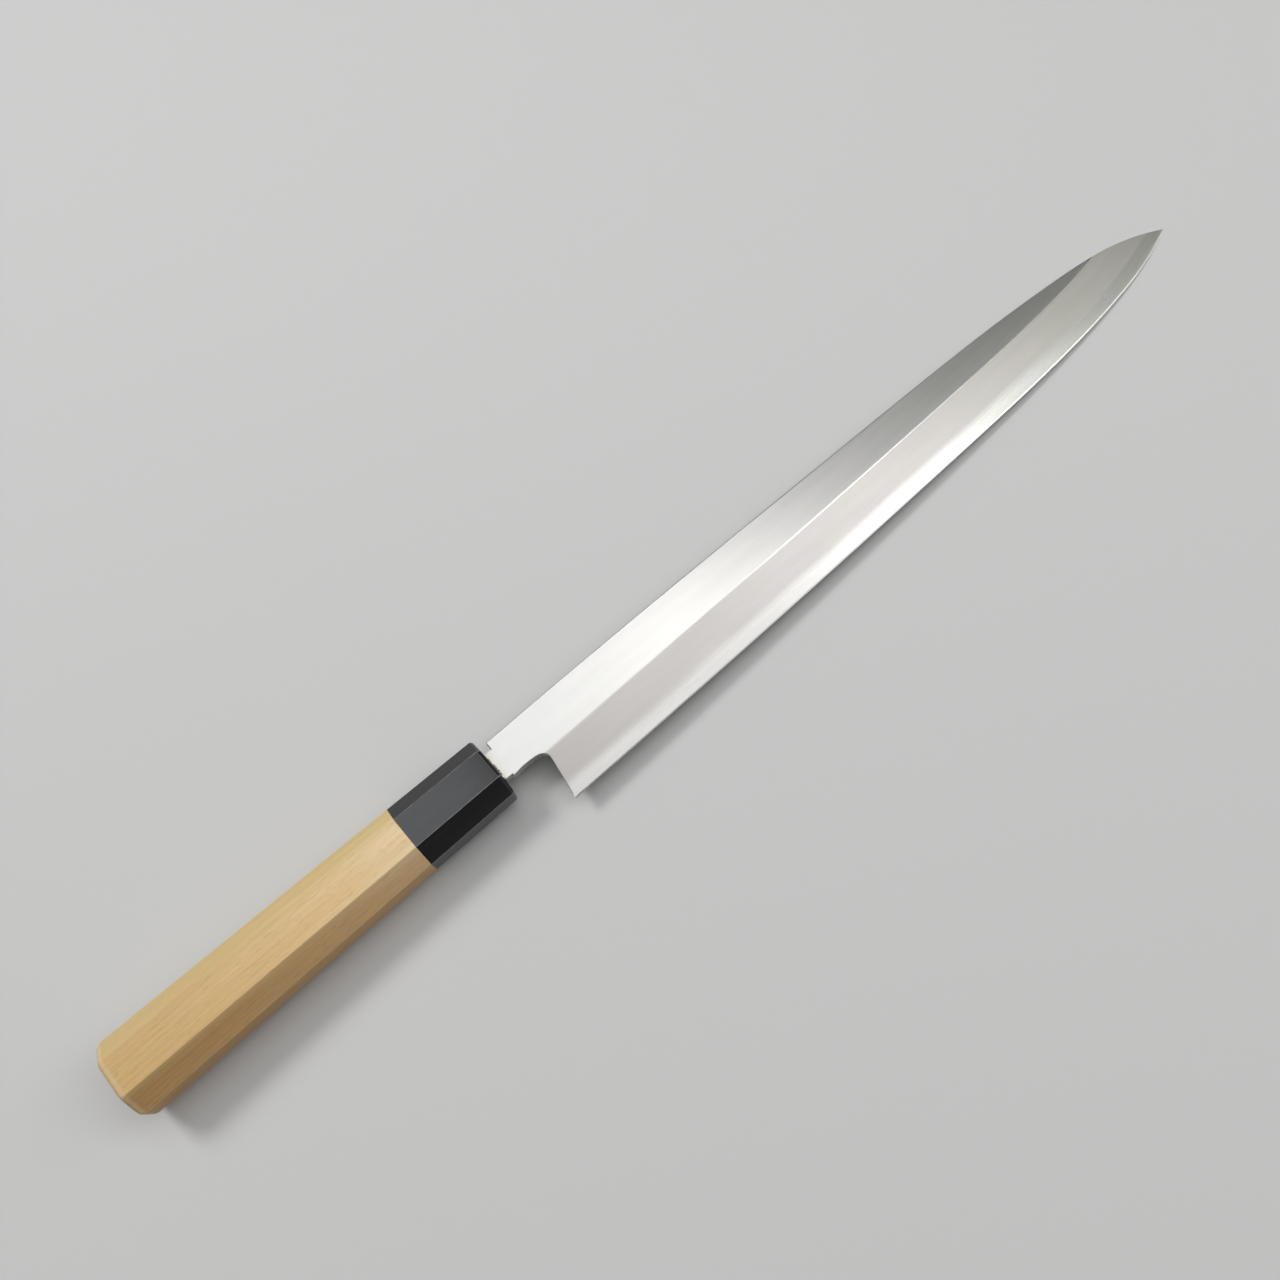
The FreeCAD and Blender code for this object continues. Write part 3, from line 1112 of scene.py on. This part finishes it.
    def soften(self, bm: Mesh, side_of: object) -> None:
        """Take the sharpness off the front's outer edges, where the blade is thick enough.

        Args:
            bm: The blade.
            side_of: The layer that is 1 on the front.
        """
        turn = math.radians(self.easing_turn)
        at_heel, beyond = self.easing_least_shares
        chosen = []
        for edge in bm.edges:
            if len(edge.link_faces) != 2 or edge.calc_face_angle() < turn:
                continue
            near = edge.verts[0].co.x < self.heel_x + self.easing_heel
            least = self.easing * (at_heel if near else beyond)
            if all(v[side_of] == 1 and v.co.z - self.back > least and v.co.x > -self.tang_length
                   for v in edge.verts):
                chosen.append(edge)
        bmesh.ops.bevel(bm, geom=chosen, offset=self.easing, offset_type="OFFSET", segments=self.easing_steps,
                        profile=0.5, affect="EDGES", material=-1, clamp_overlap=False)

    def weld_plane(self) -> tuple:
        """The weld between iron and hard steel.

        Returns:
            A point on it and its normal.
        """
        share = (self.steel_band - self.land_width) / (self.bevel_width - self.land_width)
        start, end = (self.back + between(self.land_height, self.flat(x), share)
                      for x in (self.shoulder_x, self.tip_x))
        fall = (start - end) / (self.tip_x - self.shoulder_x)
        return Vector((self.shoulder_x, 0.0, start)), Vector((fall, 0.0, 1.0)).normalized()

    def step_plane(self) -> tuple:
        """A point on the step where the hard steel starts, and its normal."""
        return Vector((self.steel_start, 0.0, 0.0)), Vector((1.0, 0.0, 0.0))

    def steel(self, whole: Mesh) -> Mesh:
        """The hard steel under the weld.

        Args:
            whole: The whole blade.

        Returns:
            A closed mesh.
        """
        bm = whole.copy()
        for (place, way), under in ((self.weld_plane(), True), (self.step_plane(), False)):
            cut(bm, everything(bm), place, way, clear_outer=under, clear_inner=not under)
            rim = [e for e in bm.edges if e.is_boundary]
            cap(bm, rim, way)
            for edge in rim:
                edge.smooth = False
        bmesh.ops.recalc_face_normals(bm, faces=bm.faces)
        return bm

    def iron(self, whole: Mesh) -> Mesh:
        """The soft iron over the weld, with the neck and the tang.

        Args:
            whole: The whole blade.

        Returns:
            A closed mesh.
        """
        bm = whole.copy()
        point, normal = self.weld_plane()
        start, along = self.step_plane()
        cut(bm, everything(bm), start, along)
        ahead = [f for f in bm.faces if f.calc_center_median().x > self.steel_start]
        verts = dict.fromkeys(v for f in ahead for v in f.verts)
        edges = dict.fromkeys(e for f in ahead for e in f.edges)
        cut(bm, [*verts, *edges, *ahead], point, normal)
        under = [f for f in bm.faces if f.calc_center_median().x > self.steel_start
                 and (f.calc_center_median() - point).dot(normal) < 0.0]
        bmesh.ops.delete(bm, geom=under, context="FACES")
        rim = [e for e in bm.edges if e.is_boundary]
        step = [e for e in rim if all(abs(v.co.x - self.steel_start) < self.step_slack for v in e.verts)]
        corners = dict.fromkeys(v for e in step for v in e.verts)
        ends = sorted(corners, key=lambda v: abs((v.co - point).dot(normal)))[:2]
        joint = bm.edges.new(ends)
        cap(bm, step + [joint], along)
        cap(bm, [e for e in rim if e not in step] + [joint], -normal)
        for edge in rim:
            edge.smooth = False
        bmesh.ops.recalc_face_normals(bm, faces=bm.faces)
        return bm

    def build(self, lay: Lay) -> None:
        """Make both layers of the blade.

        Args:
            lay: How the knife lies.
        """
        whole = self.body()
        steel = self.steel(whole)
        iron = self.iron(whole)
        whole.free()
        material = self.finish.material()
        for bm, name, slot, node in ((iron, "iron_body", "soft_iron", "blade_iron"),
                                     (steel, "edge_steel", "hard_steel", "blade_edge_steel")):
            clean(bm, *self.layer_clean)
            publish(bm, name, lay, material, slot, node)


# Handle


@dataclass
class Octagon:
    """The handle's eight-sided section, which grows evenly from mouth to butt, in millimetres."""

    length: float = 145.0
    heights: tuple = (22.2, 26.2)
    widths: tuple = (20.0, 22.0)
    corners: tuple = (5.65, 6.6)
    sides: int = 8
    arc_steps: int = 4
    least: float = 1e-6

    def ring(self, x: float, inset: float, easing: float) -> list:
        """One ring of the section.

        Args:
            x: Place along the handle.
            inset: How far all the sides are drawn in.
            easing: Radius of the ridges.

        Returns:
            Its points, in order.
        """
        share = -x / self.length
        side = between(*self.heights, share) / 2 - inset
        face = between(*self.widths, share) / 2 - inset
        corner = between(*self.corners, share) - inset * (2 - math.sqrt(2))
        half = [(side, face - corner), (side - corner, face), (corner - side, face), (-side, face - corner)]
        ridges = [Vector(p) for p in half + [(-y, -z) for y, z in half]]
        half_turn = math.pi / self.sides
        found = []
        for i, ridge in enumerate(ridges):
            back = (ridges[i - 1] - ridge).normalized()
            on = (ridges[(i + 1) % self.sides] - ridge).normalized()
            inward = (back + on).normalized()
            centre = ridge + inward * (easing / math.cos(half_turn))
            for step in range(self.arc_steps + 1):
                turn = between(half_turn, -half_turn, step / self.arc_steps)
                spoke = Matrix.Rotation(-turn, 2) @ -inward
                point = centre + spoke * easing
                found.append((x, point.x, point.y))
        return found

    def rim(self, end: float, inward: float, radius: float, easings: tuple, steps: int) -> list:
        """Rings that round an end off.

        Args:
            end: Place of the end.
            inward: 1 or -1, the way from the end along X into the piece.
            radius: Radius of the rounding.
            easings: Radius of the ridges where the rounding starts and at the end.
            steps: Steps of the rounding.

        Returns:
            The rings.
        """
        rings = []
        for step in range(steps + 1):
            share = step / steps
            turn = share * math.pi / 2
            x = end + inward * radius * (1 - math.sin(turn))
            rings.append(self.ring(x, radius * (1 - math.cos(turn)), between(*easings, share)))
        return rings

    def wear_and_highlight(self, sides: float, ridges: float) -> list:
        """Rubbing and painted highlight round a ring.

        Args:
            sides: Rubbing and painted highlight of its sides.
            ridges: Rubbing and painted highlight at the crests of its ridges.

        Returns:
            The level of rubbing and painted highlight at each point.
        """
        steps = self.arc_steps
        crest = [math.sin(math.pi * i / steps) ** 2 for i in range(steps + 1)]
        return [max(sides, ridges * level) for level in crest * self.sides]

    def circle(self, x: float, radius: float, like: list) -> list:
        """A circle with its points on the same spokes as a ring.

        Args:
            x: Place along the handle.
            radius: Its radius.
            like: The ring.

        Returns:
            Its points, in order.
        """
        found = []
        for _, y, z in like:
            spoke = Vector((y, z)).normalized() * radius
            found.append((x, spoke.x, spoke.y))
        return found

    def oblong(self, x: float, top: float, bottom: float, side: float, like: list) -> list:
        """A rectangle with its points on the same spokes as a ring, and one at each corner.

        Args:
            x: Place along the handle.
            top: Its upper side.
            bottom: Its lower side.
            side: Half its width.
            like: The ring.

        Returns:
            Its points, in order.
        """
        found = []
        for _, y, z in like:
            level = top if y > 0 else -bottom
            reach = min(level / max(abs(y), self.least), side / max(abs(z), self.least))
            found.append([x, y * reach, z * reach])
        for y in (top, bottom):
            for z in (side, -side):
                near = min(found, key=lambda p: (p[1] - y) ** 2 + (p[2] - z) ** 2)
                near[1:] = [y, z]
        return [tuple(p) for p in found]


def sweep(rings: list, closed: bool, worn_and_highlight: list) -> Mesh:
    """Carry a loop of edges through a list of rings.

    Args:
        rings: Rings with the same number of points.
        closed: Join the last ring to the first, or else cap both ends.
        worn_and_highlight: Rubbing and painted highlight of each point of each ring, from 0 to 1.

    Returns:
        A closed mesh.
    """
    bm = bmesh.new()
    wear_and_highlight = bm.verts.layers.float_vector.new("wear_and_highlight")
    verts = bmesh.ops.create_circle(bm, segments=len(rings[0]), radius=1.0)["verts"]
    edges = list(bm.edges)
    first = edges
    for number, ring in enumerate(rings):
        if number:
            made = bmesh.ops.extrude_edge_only(bm, edges=edges)["geom"]
            edges = [g for g in made if isinstance(g, bmesh.types.BMEdge)]
            fresh = {g for g in made if isinstance(g, bmesh.types.BMVert)}
            verts = [next(e.other_vert(v) for e in v.link_edges if e.other_vert(v) in fresh) for v in verts]
        for point, vert in enumerate(verts):
            vert.co = ring[point]
            vert[wear_and_highlight] = (worn_and_highlight[number][point], 0.0, 0.0)
    if closed:
        bmesh.ops.remove_doubles(bm, verts=bm.verts, dist=SAME_POINT)
    else:
        for loop in (first, edges):
            bmesh.ops.edgeloop_fill(bm, edges=loop)
    bmesh.ops.recalc_face_normals(bm, faces=bm.faces)
    return bm


@dataclass
class Ferrule:
    """The horn collar, bored for the tenon, in millimetres."""

    section: Octagon = field(default_factory=Octagon)
    length: float = 34.0
    mouth_round: float = 1.3
    mouth_easing: float = 0.9
    round_steps: int = 7
    ridge_easing: float = 0.42
    joint_easing: float = 0.07
    bore_radius: float = 7.05
    first_ring: float = 1.0
    plain_rings: int = 8
    finish: HornFinish = field(default_factory=HornFinish)

    def build(self, lay: Lay) -> None:
        """Make the collar.

        Args:
            lay: How the knife lies.
        """
        section = self.section
        joint = section.ring(-self.length, self.joint_easing, self.ridge_easing)
        plain = np.linspace(self.length - self.first_ring, 2.0 * self.mouth_round, self.plain_rings)
        outside = [joint]
        for x in (self.length - self.joint_easing, *plain):
            outside.append(section.ring(-x, 0.0, self.ridge_easing))
        easings = (self.ridge_easing, self.mouth_easing)
        outside += section.rim(0.0, -1.0, self.mouth_round, easings, self.round_steps)
        bore = [section.circle(x, self.bore_radius, joint) for x in (0.0, -self.length)]
        inside = [*bore, joint]
        # The collar's ridge crests are painted grey: scuffing, and a painted highlight.
        worn_and_highlight = [section.wear_and_highlight(0.0, 1.0)] * len(outside) + [section.wear_and_highlight(0.0, 0.0)] * len(inside)
        bm = sweep(outside + inside, True, worn_and_highlight)
        publish(bm, "horn_collar", lay, self.finish.material(), "horn", "ferrule")


@dataclass
class Grip:
    """The wooden handle with its tenon and the slot for the tang, in millimetres."""

    section: Octagon = field(default_factory=Octagon)
    start: float = 34.0
    butt_round: float = 3.2
    butt_easing: float = 4.2
    round_steps: int = 9
    ridge_easing: float = 0.45
    joint_easing: float = 0.07
    # Paler ridges and butt rim: rubbing, and a painted highlight.
    ridge_wear_and_highlight: float = 0.3
    rim_wear_and_highlight: float = 0.7
    rim_wear_and_highlight_pace: float = 1.9
    tenon_radius: float = 7.0
    tenon_recess: float = 0.4
    slot_start: tuple = (5.7897, -5.6888, 2.3940)
    slot_end: tuple = (2.9477, -2.5421, 1.5851)
    slot_depth: float = 106.0
    first_ring: float = 1.0
    plain_rings: int = 20
    finish: WoodFinish = field(default_factory=WoodFinish)

    def inner(self) -> list:
        """The slot and the tenon.

        Returns:
            Their rings, from the slot's end out to the joint.
        """
        section = self.section
        like = section.ring(-self.start, 0.0, self.ridge_easing)
        return [section.oblong(-self.slot_depth, *self.slot_end, like),
                section.oblong(-self.tenon_recess, *self.slot_start, like),
                section.circle(-self.tenon_recess, self.tenon_radius, like),
                section.circle(-self.start, self.tenon_radius, like)]

    def build(self, lay: Lay) -> None:
        """Make the handle.

        Args:
            lay: How the knife lies.
        """
        section = self.section
        rings = self.inner()
        worn_and_highlight = [section.wear_and_highlight(0.0, 0.0)] * len(rings)
        rings.append(section.ring(-self.start, self.joint_easing, self.ridge_easing))
        worn_and_highlight.append(section.wear_and_highlight(1.0, 1.0))
        end = section.length - 2.0 * self.butt_round
        plain = np.linspace(self.start + self.first_ring, end, self.plain_rings)
        for x in (self.start + self.joint_easing, *plain):
            rings.append(section.ring(-x, 0.0, self.ridge_easing))
            worn_and_highlight.append(section.wear_and_highlight(0.0, self.ridge_wear_and_highlight))
        easings = (self.ridge_easing, self.butt_easing)
        rings += section.rim(-section.length, 1.0, self.butt_round, easings, self.round_steps)
        # The butt's rim is painted paler: rubbing, and a painted highlight.
        for step in range(self.round_steps + 1):
            share = min(self.rim_wear_and_highlight_pace * step / self.round_steps, 1.0)
            level = self.rim_wear_and_highlight * math.sin(math.pi * share)
            worn_and_highlight.append(section.wear_and_highlight(level, max(level, self.ridge_wear_and_highlight)))
        bm = sweep(rings, False, worn_and_highlight)
        publish(bm, "wood_grip", lay, self.finish.material(), "magnolia", "grip")


@dataclass
class Bedding:
    """The resin round the tang, as packed."""

    finish: ResinFinish = field(default_factory=ResinFinish)

    def build(self) -> None:
        """Dress the CAD piece."""
        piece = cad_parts["tang_bedding"]
        piece.data.materials.clear()
        piece.data.materials.append(self.finish.material())
        LOG.info("tang_bedding: dressed in %s", self.finish.name)


# Studio


@dataclass(frozen=True)
class Panel:
    """A soft rectangular lamp, in metres and radians."""

    name: str
    place: tuple
    aim: tuple
    size: tuple
    spin: float
    radiance: float
    colour: tuple = (1.0, 1.0, 1.0)
    mirrored: bool = True

    def build(self) -> None:
        """Hang the lamp."""
        lamp = bpy.data.lights.new(self.name, "AREA")
        lamp.shape = "RECTANGLE"
        lamp.size, lamp.size_y = self.size
        lamp.color = self.colour
        lamp.energy = self.radiance * math.pi * self.size[0] * self.size[1]
        holder = bpy.data.objects.new(self.name, lamp)
        down = (Vector(self.aim) - Vector(self.place)).normalized()
        along = Vector((math.cos(self.spin), math.sin(self.spin), 0.0))
        side = down.cross(along).normalized()
        along = side.cross(down).normalized()
        turn = Matrix((along, side, -down)).transposed()
        if turn.determinant() < 0.0:
            turn = Matrix((along, -side, -down)).transposed()
        holder.matrix_world = Matrix.Translation(self.place) @ turn.to_4x4()
        holder.visible_camera = False
        holder.visible_glossy = self.mirrored
        bpy.context.scene.collection.objects.link(holder)
        LOG.info("lamp %s", self.name)


@dataclass(frozen=True)
class Surround:
    """The room: pale all round the horizon and dim overhead, as it is seen, and dim as a source of light."""

    name: str = "studio"
    pale: float = 0.57
    dim: float = 0.14
    rise: tuple = (0.13, 0.33)
    far_lift: float = 0.26
    far_from: tuple = (-0.85, -0.1)
    butt_lift: float = 0.65
    butt_from: tuple = (-0.6, -0.25)
    patch: float = 0.45
    patch_from: tuple = (-0.75, -0.45)
    patch_rise: tuple = (0.36, 0.5)

    def world(self) -> bpy.types.World:
        """Build the world.

        Returns:
            The world. Its pale part is higher on the far side and behind the butt, with a patch in front.
        """
        made = bpy.data.worlds.new(self.name)
        made.use_nodes = True
        sky = Nodes(made.node_tree)
        x, y, z = sky.parts(sky.node("ShaderNodeTexCoord").outputs["Generated"])
        lift = sky.larger(sky.span(y, *self.far_from, 0.0, self.far_lift),
                          sky.span(x, *self.butt_from, self.butt_lift, 0.0))
        wall = sky.span(sky.math("SUBTRACT", z, lift), *self.rise, self.pale, self.dim)
        patch = sky.times(sky.span(y, *self.patch_from, self.patch, 0.0), sky.span(z, *self.patch_rise))
        wall = sky.larger(wall, patch)
        ground = made.node_tree.nodes["Background"]
        ground.inputs["Color"].default_value = WHITE
        sky.feed(ground.inputs["Strength"], sky.blend(sky.seen(), self.dim, wall))
        return made


@dataclass
class Studio:
    """Pale floor, soft light and the camera, in metres, radians and, for the lens, millimetres."""

    floor: FloorFinish = field(default_factory=FloorFinish)
    floor_reach: float = 6.0
    surround: Surround = field(default_factory=Surround)
    camera_place: tuple = (-0.08597787, -0.11192044, 0.40830291)
    camera_turn: tuple = (0.32211872, 0.07053632, -0.71842013)
    lens: float = 36.013
    sensor: float = 36.0
    nearest: float = 0.01
    lamps: tuple = (
        Panel("softbox", (0.593, -0.226, 1.0), (0.593, -0.226, 0.0), (1.98, 0.765), -0.479, 1.38),
        Panel("strip", (0.562, -0.076, 0.985), (0.562, -0.076, 0.0), (2.04, 0.10), -0.916, 3.84),
        Panel("window", (-0.135, 0.31, 0.97), (-0.135, 0.31, 0.0), (0.21, 0.24), 0.0, 1.05,
              colour=(0.90, 0.98, 1.06)),
        Panel("edge_light", (1.85, -0.36, 1.0), (0.2, 0.0, 0.0), (0.45, 0.45), 0.0, 2.0),
        Panel("key", (-0.51, 0.96, 1.18), (0.0, 0.0, 0.0), (0.45, 0.45), 0.7, 20.6, mirrored=False),
    )

    def lay_floor(self) -> None:
        """Make the floor."""
        bm = bmesh.new()
        bmesh.ops.create_grid(bm, x_segments=2, y_segments=2, size=self.floor_reach)
        mesh = bpy.data.meshes.new("floor")
        bm.to_mesh(mesh)
        bm.free()
        mesh.materials.append(self.floor.material())
        floor = bpy.data.objects.new("floor", mesh)
        bpy.context.scene.collection.objects.link(floor)

    def set_camera(self) -> None:
        """Put the camera where the photograph was taken from."""
        camera = bpy.data.cameras.new("camera")
        camera.lens = self.lens
        camera.sensor_width = self.sensor
        camera.clip_start = self.nearest
        holder = bpy.data.objects.new("camera", camera)
        holder.location = self.camera_place
        holder.rotation_euler = self.camera_turn
        bpy.context.scene.collection.objects.link(holder)
        bpy.context.scene.camera = holder

    def build(self) -> None:
        """Set up everything round the knife."""
        self.lay_floor()
        for lamp in self.lamps:
            lamp.build()
        bpy.context.scene.world = self.surround.world()
        bpy.context.scene.view_settings.view_transform = "Standard"
        self.set_camera()


def main() -> None:
    """Build the knife and its studio."""
    logging.basicConfig(level=logging.INFO, format="%(name)s: %(message)s")
    lay = Lay()
    Blade().build(lay)
    Ferrule().build(lay)
    Grip().build(lay)
    Bedding().build()
    Studio().build()


if __name__ == "__main__":
    main()
